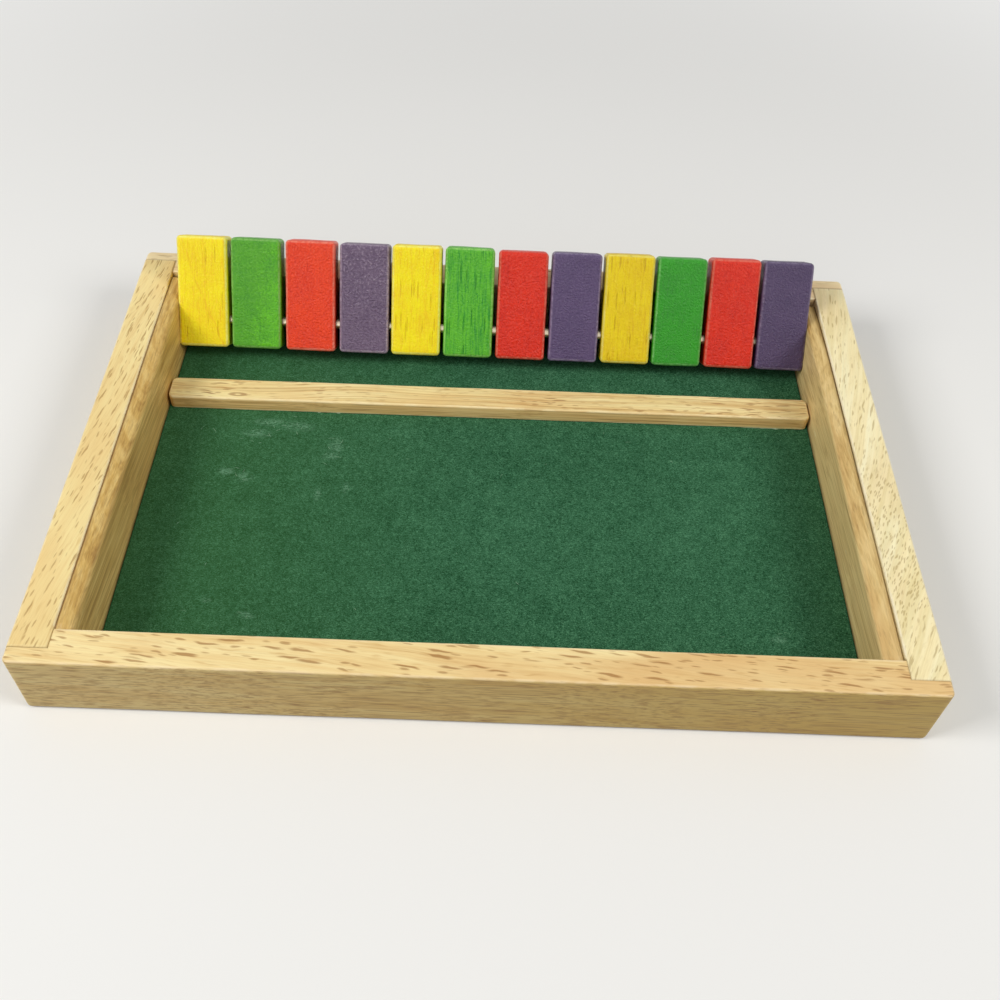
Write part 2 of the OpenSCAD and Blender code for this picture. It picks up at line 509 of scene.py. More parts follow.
class Wood:
    """Lacquered rubberwood: soft growth streaks, fine fibres and short dark pores along X.

    palette holds light, mid, dark, warm, pore, line, rim and aged colours: rim is
    the colour of the painted highlight on the edges, and aged the colour of olive
    bands and of the painted light and shade on upright faces. seam, where it is given, works out
    the distance from a joint line.
    """

    def __init__(self, name, size, seed, palette, seam=None, **own):
        self.t = t = Tree(name)
        self.size, self.palette, self.seam = size, palette, seam
        self.grain = Grain(**own)
        self.here = t.local()
        self.moved = t.local(seed)
        self.along = t.xyz(self.here)[0]
        normal = t.node("TexCoord").outputs["Normal"]
        self.flat = t.band(t.abs(t.xyz(normal)[2]), 0.5, 0.85)

    def material(self):
        t = self.t
        self.lay_grain()
        self.colour = self.growth()
        self.pore = self.pores()
        self.tint("pore", t.product(self.pore, 0.75))
        self.upright_faces()
        self.knot_and_scuffs()
        self.edges_and_joints()
        height = t.scale_add(self.fibres, 0.4, t.product(self.pore, -1.0))
        gloss = t.scale_add(self.clouds, 0.14, 0.38)
        return t.surface(Base_Color=self.colour, Specular_IOR_Level=0.35,
                         Roughness=t.scale_add(self.pore, 0.2, gloss),
                         Normal=t.bump(height, 0.45, 0.00014))

    def tint(self, key, amount):
        """Mixes one of the palette's colours in."""
        self.colour = self.t.mix(amount, self.colour, self.palette[key])

    def on_faces(self, upright, level):
        """A value that differs between upright and level faces."""
        return self.t.band(self.flat, 0.0, 1.0, upright, level)

    def lay_grain(self):
        """The grain drifts a little as it runs along the piece, and swells round a knot."""
        t, grain = self.t, self.grain
        self.x, y, z = t.xyz(self.moved)
        drift = t.noise(self.moved, (0.012, 0.03, 0.03))
        slope = t.scale_add(self.along, grain.curve, grain.slant)
        bend = t.scale_add(drift, 9.0, t.product(self.along, slope))
        if grain.knot:
            apart = t.away(self.here, grain.knot)
            self.from_knot = t.length(t.scaled(apart, (0.28, 1.0, 1.0)))
            near = t.band(self.from_knot, 2.6, 0.0)
            bend = t.scale_add(t.product(t.xyz(apart)[1], near), -0.7, bend)
        self.across = t.plus(y, bend)
        sunk = t.scale_add(drift, 4.0 * abs(grain.dive), z)
        self.z = t.scale_add(self.along, grain.dive, sunk)
        self.lane = t.vector(self.x, self.across, self.z)

    def growth(self):
        """Colour of the growth rings, round a pith outside the piece, and of streaks and fibres."""
        t, grain, palette = self.t, self.grain, self.palette
        pith_y, pith_z = map(float, grain.pith)
        from_pith = t.vector(0.0, t.plus(self.across, pith_y), t.plus(self.z, pith_z))
        radius = t.math("DIVIDE", t.length(from_pith), grain.ring)
        rings = t.noise(t.vector(radius, t.product(self.x, 0.006), 0.0), 1.0, 3.0, 0.6)
        self.fibres = t.noise(self.lane, (0.07, 2.6, 2.6), 3.0, 0.65)
        streak = t.noise(self.lane, (0.025, 0.75, 0.75), 2.0, 0.55)
        self.clouds = t.noise(self.lane, (0.03, 0.13, 0.13))
        tone = t.swing(rings, 0.8 * grain.streaks, 0.56)
        fibred = self.on_faces(0.7 * grain.fibre * grain.brushed, 0.7 * grain.fibre)
        tone = t.swing(self.fibres, fibred, tone)
        tone = t.swing(streak, 0.6 * grain.streaks, tone)
        tone = t.scale_add(t.minus(self.clouds, 0.5), 0.8, tone, clamp=True)
        stops = [(0.1, palette["dark"]), (0.48, palette["mid"]), (0.85, palette["light"])]
        glow = t.noise(self.moved, (0.022, 0.08, 0.08), 2.0)
        # The far end is mixed more orange: partly the wood's own tone, partly painted shade
        glow = t.scale_add(self.along, grain.warm / self.size.x, glow)
        return t.mix(t.band(glow, 0.44, 0.78, 0.0, 0.8), t.ramp(tone, stops), palette["warm"])

    def pores(self):
        """Long pores that crowd in drifting bands, shorter ones, and a haze round the crowds.

        Upright faces, cut across the rings, show little of them but thin hairs.
        """
        t, grain = self.t, self.grain
        crowds = t.noise(self.moved, (0.045, 0.11, 0.11))
        crowds = t.scale_add(self.along, 0.35 * grain.warm / self.size.x, crowds)
        crowded = t.band(crowds, grain.crowd - 0.10, grain.crowd + 0.08)
        wave = t.noise(self.moved, (0.22, 0.5, 0.5), 1.0)
        wavy = t.vector(self.x, t.scale_add(wave, 1.1, self.across), self.z)
        long = t.product(dashes(t, wavy, 5.2 * grain.coarse, 0.56 * grain.coarse, 0.0, 0.0),
                         t.scale_add(crowded, 0.7, 0.3))
        short = t.product(dashes(t, wavy, 2.4 * grain.coarse, 0.44 * grain.coarse, 0.12, 7.3),
                          t.scale_add(crowded, 0.5, 0.35))
        if grain.speckled:
            long, short = self.speckles(wavy, long, short)
        haze = t.noise(wavy, (0.13, 0.95, 0.95), 1.0)
        self.tint("dark", t.product(t.band(haze, 0.55, 0.78), crowded,
                                    self.on_faces(0.3 * grain.brushed, 1.0), 0.5 * grain.pores))
        hair = t.band(t.noise(self.lane, (0.12, 5.0, 5.0), 1.0), 0.56, 0.74)
        hair = t.product(hair, self.on_faces(0.22 * grain.brushed, 0.2), grain.fibre)
        pore = t.product(t.max(long, short), self.on_faces(0.22 * grain.brushed, 1.0))
        return t.math("MULTIPLY", t.max(pore, hair), grain.pores, clamp=True)

    def speckles(self, wavy, long, short):
        """A stretch where fine specks and olive bands take the place of the long pores."""
        t = self.t
        middle, half_length = self.grain.speckled
        off = t.minus(self.along, middle)
        off = t.abs(t.swing(t.noise(self.moved, 0.05), 30.0, off))
        zone = t.band(off, half_length + 6.0, half_length - 6.0, 0.15, 1.0)
        specks = t.max(dashes(t, wavy, 1.9, 0.5, -0.1, 4.1), dashes(t, wavy, 1.3, 0.4, 0.0, 9.6))
        specks = t.max(specks, dashes(t, wavy, 1.6, 0.44, -0.1, 15.2))
        banded = t.noise(self.lane, (0.02, 0.55, 0.55), 3.0, 0.6)
        self.tint("aged", t.band(banded, 0.45, 0.62, 0.0, 0.2))
        return (t.product(long, t.band(zone, 0.15, 1.0, 0.9, 0.1)),
                t.max(short, t.product(specks, zone, 0.9)))

    def upright_faces(self):
        """Upright faces get painted light and shade, a colour of their own that is lighter on some
        pieces and darker on others, and show the rings as long fine lines.
        """
        t, grain = self.t, self.grain
        olive = t.band(self.along, -self.size.x / 2, self.size.x / 2, *grain.aged)
        # Painted light and shade: upright faces are mixed towards their own colour, more towards one
        # end
        self.tint("aged", t.product(olive, self.on_faces(1.0, 0.0)))
        ruled = self.on_faces(1.0, grain.lines_above)
        line = t.noise(self.lane, (0.008, 1.6, 1.6), 3.0, 0.6)
        self.tint("line", t.product(t.band(line, 0.46, 0.66), ruled, 0.55 * grain.lines))
        thread = t.noise(self.lane, (0.008, 2.8, 2.8), 1.0)
        self.tint("pore", t.product(t.band(thread, 0.56, 0.74), ruled, 0.5 * grain.lines))

    def knot_and_scuffs(self):
        t = self.t
        if self.grain.knot:
            ringed = t.plus(self.from_knot, t.product(self.fibres, 0.3))
            self.tint("pore", t.product(t.band(ringed, 1.15, 0.85), t.band(ringed, 0.3, 0.6), 0.6))
        for scuff in self.grain.scuffs:
            apart = t.scaled(t.away(self.here, scuff), (0.55, 2.0, 3.2))
            scraped = t.band(t.length(apart), 1.0, 0.6, 0.0, 0.8)
            self.colour = t.mix(scraped, self.colour, SCUFFED_WOOD)

    def edges_and_joints(self):
        """Edges get a paler painted highlight, broken in patches, and the lines where two pieces meet
        get a painted shadow.
        """
        t, grain = self.t, self.grain
        patchy = t.noise(self.moved, (0.2, 0.5, 0.5))
        # Painted highlight: edges are made paler where the rounded edges catch the light
        edge_highlight = t.product(t.band(edge_distance(t, self.size), 0.85, 0.3),
                           t.band(patchy, 0.38, 0.62, 0.3, 0.85), grain.worn)
        if not self.seam:
            self.tint("rim", edge_highlight)
            return
        apart = self.seam(t)
        self.tint("rim", t.product(edge_highlight, t.band(apart, 0.3, 1.1, 0.15, 1.0)))
        shadow = t.band(apart, 0.5, 0.12, 0.0, grain.seam_depth)
        self.colour = t.mix(shadow, self.colour, JOINT_SHADOW)


FRONT_WOOD = colours(
    light=(252, 232, 172), mid=(242, 213, 150), dark=(206, 162, 98), warm=(228, 187, 126),
    line=(176, 136, 80), pore=(158, 108, 52), rim=(250, 230, 188), aged=(202, 174, 78))
LEFT_WOOD = colours(
    light=(250, 232, 168), mid=(242, 217, 152), dark=(210, 170, 102), warm=(238, 206, 140),
    line=(200, 160, 96), pore=(162, 120, 60), rim=(252, 236, 190), aged=(192, 172, 82))
RIGHT_WOOD = colours(
    light=(255, 247, 206), mid=(253, 238, 188), dark=(228, 206, 148), warm=(236, 214, 166),
    line=(200, 176, 116), pore=(172, 146, 88), rim=(250, 238, 204), aged=(192, 172, 82))
BACK_WOOD = colours(
    light=(254, 238, 194), mid=(246, 222, 172), dark=(218, 182, 124), warm=(240, 206, 156),
    line=(196, 156, 98), pore=(152, 108, 58), rim=(252, 238, 200), aged=(192, 172, 82))
BAR_WOOD = colours(
    light=(250, 234, 174), mid=(240, 216, 152), dark=(198, 154, 90), warm=(236, 200, 136),
    line=(190, 144, 82), pore=(146, 92, 44), rim=(250, 230, 180), aged=(250, 200, 130))
STRIP_WOOD = colours(
    light=(230, 198, 124), mid=(208, 170, 94), dark=(170, 130, 64), warm=(212, 170, 96),
    line=(166, 130, 74), pore=(136, 98, 52), rim=(232, 204, 144), aged=(240, 220, 160))
RIGHT_STRIP_WOOD = STRIP_WOOD | colours(
    light=(236, 210, 148), mid=(218, 187, 122), warm=(216, 178, 116))


# ---- other materials

def paint(name, seed, size, colour, deep, rim, grain, pebble, bright=None, painted_sheen=0.0, split=None):
    """Thin satin paint on wood: grain or pebbles under it, and paler edges, partly worn and partly a
    painted highlight.

    grain and pebble are how strongly each shows. bright is a colour that breaks through on one
    side, painted_sheen how much paler the painted highlight makes the upper pebbles, and split
    the slope of a dark grain line.
    """
    t = Tree(name)
    here = t.local()
    moved = t.local(seed)
    up, across, _ = t.xyz(here)
    fibres = t.noise(moved, (0.09, 1.5, 1.5), 3.0, 0.6)
    lines = t.noise(moved, (0.05, 0.55, 0.55), 2.0, 0.5, 0.5)
    lumps = t.noise(moved, 1.5, 2.0, 0.55)
    fine = t.noise(moved, 3.2, 2.0, 0.6)
    clouds = t.noise(moved, 0.13, 2.0)
    vein = t.band(t.abs(t.minus(lines, 0.5)), 0.028, 0.004)
    flecks = dashes(t, moved, 6.0, 0.42, 0.4, 3.0)
    tone = t.product(t.band(fibres, 0.42, 0.72), 0.4 * grain)
    tone = t.scale_add(vein, 0.35 * grain, tone)
    tone = t.scale_add(flecks, 0.5 * grain, tone)
    tone = t.scale_add(t.band(lumps, 0.56, 0.34), 0.28 * pebble, tone)
    tone = t.scale_add(t.band(fine, 0.52, 0.32), 0.3, tone)
    tone = t.scale_add(t.band(clouds, 0.35, 0.7), 0.25, tone, clamp=True)
    if bright:
        reach = t.scale_add(up, -0.18, across)
        reach = t.scale_add(t.minus(t.noise(moved, 0.3, 2.0), 0.5), 11.0, reach)
        speckled = t.swing(t.noise(moved, 1.7, 2.0, 0.65), 17.0, reach)
        colour = t.mix(t.band(speckled, -0.5, 9.0, 0.0, 0.9), colour, bright)
    shade = t.mix(tone, colour, deep)
    if split:
        offset = t.scale_add(up, split, across)
        offset = t.swing(t.noise(moved, 0.06), 9.0, offset)
        crack = t.band(t.abs(t.minus(offset, 0.6)), 0.55, 0.08)
        shade = t.mix(t.product(crack, t.band(t.noise(moved, 0.2), 0.36, 0.6, 0.15, 0.5)), shade, deep)
    # Painted highlight: pale specks on the pebbles, stronger towards the top of the tile, where light
    # glints
    painted_glints = t.product(t.band(lumps, 0.5, 0.8), t.band(up, -14.0, 16.0, 0.3, 1.0),
                       pebble * (0.25 + painted_sheen))
    shade = t.mix(t.min(painted_glints, 1.0), shade, rim)

    # Along the edges the paint is paler, partly rubbed thin and partly a painted highlight where the
    # rounded edges catch the light, with a few chips down to the wood
    near = edge_distance(t, size)
    ragged = t.noise(moved, 0.8, 3.0, 0.6)
    worn = t.product(t.band(near, 1.0, 0.45), t.band(ragged, 0.36, 0.6, 0.4, 1.0))
    shade = t.mix(worn, shade, rim)
    chip = t.product(t.band(near, 0.9, 0.45), t.band(t.noise(moved, 0.7, 4.0, 0.65), 0.66, 0.70), 0.7)
    shade = t.mix(chip, shade, srgb(236, 214, 176))

    height = t.product(lumps, pebble)
    height = t.scale_add(fine, 0.35 * pebble, height)
    height = t.scale_add(fibres, 0.5 * grain, height)
    height = t.scale_add(flecks, -0.5 * grain, height)
    height = t.scale_add(chip, -0.6, height)
    normal = t.bump(height, 0.8, 0.0007)
    gloss = t.scale_add(fine, 0.16, 0.28)
    return t.surface(Base_Color=shade, Roughness=gloss, Normal=normal, Specular_IOR_Level=0.35)


# Scuffed patches of the felt's nap: middle and half size, in millimetres
FELT_SCUFFS = [(-74, 17, 5, 2.2), (-70.5, 22, 6, 1.8), (-61.5, 20.5, 5.5, 2.4),
               (-81, 0.5, 3, 1.8), (-75, -1.5, 3, 2.2), (-48.5, 12.5, 2.6, 4.5),
               (-49.5, 8.5, 3.2, 2), (-52, -7, 1.2, 3.2), (-43.5, -4.5, 1.2, 2.6),
               (-66, -52, 3, 1.4), (-78, -47.5, 1.6, 1), (83, -53.5, 2.6, 1.4)]


def felt_material():
    """Pressed green felt: matted fibres, soft mottling, a fine pale nap and scuffed patches."""
    t = Tree("felt_green")
    here = t.local()
    x, y, _ = t.xyz(here)
    fibre = t.noise(here, (2.0, 3.2, 2.6), 3.0, 0.75, 1.2)
    fleece = t.noise(here, 0.75, 3.0, 0.7, 0.6)
    mottle = t.noise(here, 0.16, 2.0, 0.6, 0.4)
    patch = t.noise(here, 0.022)
    tone = t.swing(fibre, 3.2, 0.5)
    tone = t.swing(fleece, 0.6, tone)
    tone = t.swing(mottle, 0.3, tone)
    tone = t.scale_add(t.minus(patch, 0.5), 0.25, tone, clamp=True)
    colour = t.ramp(tone, [(0.05, srgb(20, 58, 34)), (0.5, srgb(45, 95, 64)),
                           (0.95, srgb(86, 142, 106))])
    colour = t.mix(t.band(x, 10.0, -100.0, 0.0, 0.3), colour, srgb(58, 104, 40))
    scuffed = 0.0
    for cx, cy, rx, ry in FELT_SCUFFS:
        apart = t.vector(t.scale_add(x, 1 / rx, -cx / rx), t.scale_add(y, 1 / ry, -cy / ry), 0.0)
        spot = t.band(t.length(apart), 1.25, 0.15)
        scuffed = t.max(spot, scuffed)
    combed = t.noise(here, (0.7, 1.6, 1.0), 3.0, 0.7, 0.8)
    scuffed = t.product(scuffed, t.band(combed, 0.4, 0.68), 0.75)
    colour = t.mix(scuffed, colour, srgb(122, 170, 138))
    matted = t.abs(t.minus(t.noise(here, 0.9, 2.0, 0.5, 2.5), 0.5))
    hairs = t.product(t.band(matted, 0.022, 0.004), t.band(fleece, 0.42, 0.6), 0.45)
    colour = t.mix(hairs, colour, srgb(106, 160, 124))
    normal = t.bump(t.plus(fibre, t.product(fleece, 0.8)), 0.7, 0.0003)
    return t.surface(Base_Color=colour, Roughness=0.95, Normal=normal, Specular_IOR_Level=0.1)


def steel_material():
    """Bright drawn rod, with fine scratches along it and a faint warm film."""
    t = Tree("rod_bright_steel")
    here = t.scaled(t.node("TexCoord").outputs["Object"], (1000, 1000, 1000))
    drawn = t.noise(here, (0.15, 6, 6), 3.0, 0.6)
    film = t.noise(here, 0.2)
    colour = t.mix(film, srgb(228, 212, 178), srgb(246, 236, 212))
    return t.surface(Base_Color=colour, Metallic=1.0, Normal=t.bump(drawn, 0.15, 0.00004),
                     Roughness=t.scale_add(drawn, 0.2, 0.22))


def board_material():
    """Brown hardboard: pressed wood fibres, smooth on the outside."""
    t = Tree("base_board")
    here = t.scaled(t.node("TexCoord").outputs["Object"], (1000, 1000, 1000))
    fibre = t.noise(here, 1.4, 4.0, 0.7, 1.5)
    tone = t.scale_add(t.noise(here, 0.03, 3.0), 0.5, t.product(fibre, 0.6))
    colour = t.ramp(tone, [(0.25, srgb(96, 66, 42)), (0.55, srgb(128, 92, 60)),
                           (0.8, srgb(156, 118, 80))])
    return t.surface(Base_Color=colour, Roughness=0.62, Normal=t.bump(fibre, 0.3, 0.0002))


# ---- pieces

def wooden(name, bm, size, turn, seed, palette, seam=None, slot="pale_wood", **grain):
    """Puts a shaped piece of wood where its node is."""
    look = Wood(name, size, seed, palette, seam, **grain).material()
    piece(name + "_wood", bm, placed(node_centre(name), turn), look, replaces=(name,))


def end_rail(name, turn, seed, palette, **grain):
    """Front or back rail: a long tongue outside and a shorter body between the side rails."""
    size = node_size(name)
    high = size / 2
    tongue_y = TONGUE - high.y
    ledge_y = high.y - BOARD_LEDGE
    ledge_z = BOARD_THICKNESS - high.z

    def solid(x, y, z):
        if y > tongue_y and abs(x) > side_inner_x:
            return False
        return not (y > ledge_y and z < ledge_z)

    def joint(p):
        at_step = abs(p.x) > side_inner_x - NEAR and p.y > tongue_y - NEAR
        return at_step or (p.z < ledge_z + NEAR and p.y > ledge_y - NEAR)

    def seam(t):
        x, y, z = t.xyz(t.local())
        past = t.minus(side_inner_x, t.abs(x))
        behind = t.minus(tongue_y, y)
        on_tongue = t.max(past, t.abs(behind))
        on_body = t.max(behind, t.abs(past))
        return t.min(on_tongue, on_body)

    bm = cells([-high.x, -side_inner_x, side_inner_x, high.x], [-high.y, tongue_y, ledge_y, high.y],
               [-high.z, ledge_z, high.z], solid)
    ease(bm, CORNER_RADIUS, lambda p: abs(p.x) > high.x - NEAR and p.y < NEAR - high.y
         and abs(p.z) < high.z - NEAR, 5)
    ease(bm, RAIL_EDGE, lambda p: not joint(p) and p.y < high.y - 0.05)
    ease(bm, CRISP_EDGE, lambda p: not joint(p))
    ease(bm, JOINT_EDGE, lambda p: p.z > 0, 1)
    settle(bm, high, *RAIL_SANDING, seed)
    wooden(name, bm, size, turn, seed, palette, seam, **grain)


def side_rail(name, turn, seed, palette, inner_edge, **grain):
    """Left or right rail, between the tongues of the end rails."""
    size = node_size(name).yxz
    high = size / 2
    ledge_y = high.y - BOARD_LEDGE
    ledge_z = BOARD_THICKNESS - high.z

    def joint(p):
        return abs(p.x) > high.x - NEAR or (p.z < ledge_z + NEAR and p.y > ledge_y - NEAR)

    def seam(t):
        x, y, z = t.xyz(t.local())
        x = t.abs(x)
        beside = t.max(t.minus(end_inner_y, x), t.minus(high.y, y))
        return t.min(t.minus(high.x, x), beside)

    bm = cells([-high.x, high.x], [-high.y, ledge_y, high.y], [-high.z, ledge_z, high.z],
               lambda x, y, z: not (y > ledge_y and z < ledge_z))
    ease(bm, RAIL_EDGE, lambda p: not joint(p) and p.y < 0)
    ease(bm, inner_edge, lambda p: not joint(p))
    ease(bm, JOINT_EDGE, lambda p: p.z > 0, 1)
    settle(bm, high, *RAIL_SANDING, seed)
    wooden(name, bm, size, turn, seed, palette, seam, **grain)


def side_strip(name, turn, back, seed, palette, edge, lean=(0.0, 0.0), sag=0.0, **grain):
    """Left or right strip: its top falls inwards to a rounded edge, and the rod goes through it.

    back is the sign of its own X at the back end, and edge the radius of the inner top edge. At
    the front end the tops of its outer and inner face lean in, and at the back end its outer top
    edge is sanded down by sag.
    """
    size = node_size(name).yxz
    high = size / 2
    centre = node_centre(name)
    bm = block(size)
    for v in bm.verts:
        if v.co.y > 0 and v.co.z > 0:
            v.co.z -= STRIP_FALL
    ease(bm, STRIP_END, lambda p: p.x * back > high.x - NEAR and p.z > high.z - STRIP_FALL, 6)
    ease(bm, edge, lambda p: p.y > high.y - NEAR and p.z > NEAR - high.z
         and p.x * back > NEAR - high.x, 5)
    settle(bm, high, *STRIP_SANDING, seed)
    for v in bm.verts:
        forward = max(0, TWIST_START - v.co.x * back) / (TWIST_START + high.x)
        backward = max(0, v.co.x * back - high.x + SAG_LENGTH) / SAG_LENGTH
        inward = 0.5 + v.co.y / size.y
        rise = max(0, 0.5 + v.co.z / size.z)
        v.co.y += (lean[0] + (lean[1] - lean[0]) * inward) * forward ** 2 * (3 - 2 * forward) * rise
        v.co.z -= sag * backward ** 2 * (1 - inward) * rise ** 2
    across = turn.inverted() @ Vector((1, 0, 0))
    hole = turn.inverted() @ (Vector((centre.x, rod_axis.y, rod_axis.z)) - centre)
    drill(bm, hole, across, ROD_SEAT_RADIUS, size.y * 3)
    wooden(name, bm, size, turn, seed, palette,
           lambda t: t.plus(t.xyz(t.local())[1], high.y), "strip_wood", **grain)


def rest_bar(seed):
    """Light bar glued across the felt, a little askew, with a pin knot in its top."""
    size = Vector((2 * (strip_inner_x - BAR_END_GAP), BAR_DEPTH, node_size("rest_bar").z))
    high = size / 2
    bm = block(size)
    ease(bm, BAR_CORNER, lambda p: abs(p.x) > high.x - NEAR and abs(p.y) > high.y - NEAR, 6)
    ease(bm, BAR_EDGE, lambda p: p.z > high.z - NEAR, 4)
    ease(bm, BAR_FOOT, lambda p: p.z < NEAR - high.z, 1)
    settle(bm, high, *BAR_SANDING, seed)
    wooden("rest_bar", bm, size, Matrix.Rotation(BAR_SKEW, 3, "Z"), seed, BAR_WOOD,
           pores=0.95, slant=0.01, pith=(9, 30), streaks=1.7, ring=0.9, lines=1.1, lines_above=0.75,
           aged=(0.6, 0.5), knot=Vector((KNOT_FROM_END - high.x, KNOT_ASIDE, high.z)))


def felt_sheet():
    """Felt glued on the bottom board, with a slightly soft surface."""
    size = node_size("felt")
    high = size / 2
    bm = block(size)
    ease(bm, FELT_EDGE, lambda p: p.z > high.z - NEAR, 2)
    slice_up(bm, high, FELT_SLICE)
    for v in bm.verts:
        if v.co.z > 0:
            v.co.z += FELT_SWELL * noise.noise(v.co / FELT_REACH) - FELT_SINK
    made = piece("felt_cloth", bm, placed(node_centre("felt")), felt_material(),
                 replaces=("felt",))


YELLOW = colours(colour=(252, 226, 6), deep=(228, 180, 10), rim=(252, 236, 120))
GREEN = colours(colour=(94, 182, 34), deep=(42, 138, 34), rim=(146, 208, 108))
DEEP_GREEN = colours(colour=(46, 160, 24), deep=(38, 128, 36), rim=(120, 196, 108))
RED = colours(colour=(240, 66, 20), deep=(206, 38, 26), rim=(244, 134, 112))
DEEP_RED = colours(colour=(240, 46, 10), deep=(204, 30, 22), rim=(242, 122, 100))
PURPLE = colours(colour=(108, 90, 114), deep=(82, 64, 92), rim=(166, 150, 168))
VIOLET = colours(colour=(104, 83, 127), deep=(80, 62, 104), rim=(160, 144, 180))

# Tiles from 1 to 12: slide along the rod and how far the tip stands short, in millimetres, then
# how bright the paint is, partly each tile's own paint and partly painted light and shade that
# makes the tiles on the left mostly brighter, how strongly grain and pebbles show, and what only
# one tile's paint has
TILE_ROWS = [
    (-0.3, 0, 1.12, YELLOW, 0.7, 0.35, dict(split=0.32)),
    (-0.25, 0, 0.87, GREEN, 0.2, 0.9, dict(bright=srgb(112, 208, 30))),
    (-0.2, 0, 1.07, RED, 0.3, 1.0, {}),
    (-0.1, 0.3, 1.2, PURPLE, 0.0, 1.3, dict(painted_sheen=0.3)),
    (-0.15, 0, 1.14, YELLOW, 0.7, 0.4, {}),
    (-0.05, 0, 1.16, GREEN, 1.3, 0.8, {}),
    (0, 0.5, 0.95, DEEP_RED, 0.35, 1.0, {}),
    (0.1, 0.3, 0.79, VIOLET, 0.1, 0.9, {}),
    (0.2, 0, 0.9, YELLOW, 0.8, 0.4, {}),
    (0.15, 0.4, 0.97, DEEP_GREEN, 0.3, 0.8, {}),
    (0.25, 0, 0.92, DEEP_RED, 0.2, 1.0, {}),
    (0.3, 0.2, 0.61, VIOLET, 0.1, 0.9, {})]

# Numerals: height and its share of the font's size, how much bolder than the font, how far out
# of and into the paint, how far up from the tile's middle, and the size of their faces
NUMERAL_HEIGHT = 9
CAPITAL_SHARE = 0.7
NUMERAL_BOLD = 0.02
NUMERAL_PROUD = 0.02
NUMERAL_ROOT = 0.2
NUMERAL_PLACE = 2
NUMERAL_SLICE = 1.2


def numeral(name, number, half, matrix):
    """Plain painted number on a tile's back, upright for the player once the tile lies down."""
    text = bpy.data.curves.new(name + "_text", "FONT")
    text.body = str(number)
    text.size = NUMERAL_HEIGHT / CAPITAL_SHARE
    text.align_x = text.align_y = "CENTER"
    text.offset = NUMERAL_BOLD * text.size
    text.extrude = 0.5
    bm = bmesh.new()
    bm.from_mesh(take_mesh(add_object(text.name, text)))
    bmesh.ops.remove_doubles(bm, verts=bm.verts, dist=0.001)
    slice_up(bm, Vector((NUMERAL_HEIGHT, NUMERAL_HEIGHT, 0)), NUMERAL_SLICE)

    # Laid on the tile's back, whose unevenness it follows
    for v in bm.verts:
        depth = NUMERAL_PROUD if v.co.z > 0 else -NUMERAL_ROOT
        spot = Vector((NUMERAL_PLACE - v.co.y, v.co.x, half.z))
        spot.z = settled(spot, half, *TILE_SANDING, number).z + depth
        v.co = spot
    piece(name + "_numeral", bm, matrix, NUMERAL_INK, body=name)


def numeral_material():
    """Black printing ink, a little worn."""
    t = Tree("numeral_ink")
    here = t.local()
    worn = t.band(t.noise(here, 1.6, 4.0, 0.7), 0.5, 0.8)
    colour = t.mix(worn, srgb(26, 24, 24), srgb(74, 68, 60))
    return t.surface(Base_Color=colour, Roughness=t.scale_add(worn, 0.2, 0.4),
                     Normal=t.bump(t.noise(here, 3.0, 2.0), 0.3, 0.0001))


NUMERAL_INK = numeral_material()


def tile(number, slide, trim, shade, palette, grain, pebble, own):
    """One painted tile on the rod, leaning back."""
    name = f"tile_{number:02d}"
    width = node_size(name).x
    size = Vector((TILE_LENGTH, width, TILE_THICKNESS))
    half = size / 2 + Vector((TILE_FOOT, 0, 0))
    bm = block(size)
    for v in bm.verts:
        v.co.x -= trim if v.co.x > 0 else TILE_FOOT
    ease(bm, TILE_EDGE * random.Random(number).uniform(*TILE_EDGE_SPREAD), lambda p: True, 4)
    settle(bm, half, *TILE_SANDING, number)

    # Own frame: X up the tile, Y along the rod, Z out of its back
    lean = tile_lean()
    up = Vector((0, math.sin(lean), math.cos(lean)))
    back = Vector((1, 0, 0)).cross(up) * -1
    turn = Matrix((up, Vector((1, 0, 0)), back)).transposed()
    axis = Vector((node_centre(name).x + slide, rod_axis.y, rod_axis.z))
    middle = axis + up * (TILE_LENGTH / 2 - TILE_HEEL)

    # The tip stays below the top of the solid
    top = box_mm(name)[1].z - middle.z
    for v in bm.verts:
        v.co.x -= max(0, (turn @ v.co).z - top) / up.z
    drill(bm, Vector((TILE_HEEL - TILE_LENGTH / 2, 0, 0)), Vector((0, 1, 0)), BORE_RADIUS, width * 2)
    # The paint is made lighter or darker per tile: partly its own paint, partly painted light and
    # shade
    palette = {key: tuple(min(1, c * shade) for c in value) for key, value in palette.items()}
    look = paint(name + "_paint", number, size, grain=grain, pebble=pebble, **palette, **own)
    piece(name + "_painted", bm, placed(middle, turn), look, name, (name,))
    numeral(name, number, half, placed(middle, turn))


# Lint on the felt: the middle of each tuft, how far it spreads, and how many hairs it has
LINT_TUFTS = [(-74, 17, 3, 5), (-62, 20, 4, 6), (-70, 22, 4, 4), (-48, 13, 2, 4),
              (-50, 9, 2, 3), (-27, 8, 4, 2), (-81, 0, 2, 2), (-75, -1, 2, 2),
              (-52, -7, 0.8, 2), (-43, -4, 0.8, 2), (-66, -52, 1.5, 2), (83, -53, 1.5, 2)]
LOOSE_HAIRS = 22
LINT_LIFT = 0.02
HAIR_RADIUS = 0.065
HAIR_STEPS = 7


def hair(bm, point, heading, length, bend):
    """One thin curved hair lying on the felt, pointed at both ends."""
    rings = []
    for i in range(HAIR_STEPS + 1):
        thick = HAIR_RADIUS * (0.35 + 0.65 * math.sin(math.pi * i / HAIR_STEPS))
        ahead = Vector((math.cos(heading), math.sin(heading), 0))
        aside = Vector((-ahead.y, ahead.x, 0)) * thick
        rings.append([point + aside, point - aside, point + Vector((0, 0, thick * 1.4))])
        point += ahead * (length / HAIR_STEPS)
        heading += bend / HAIR_STEPS
    loft(bm, rings)


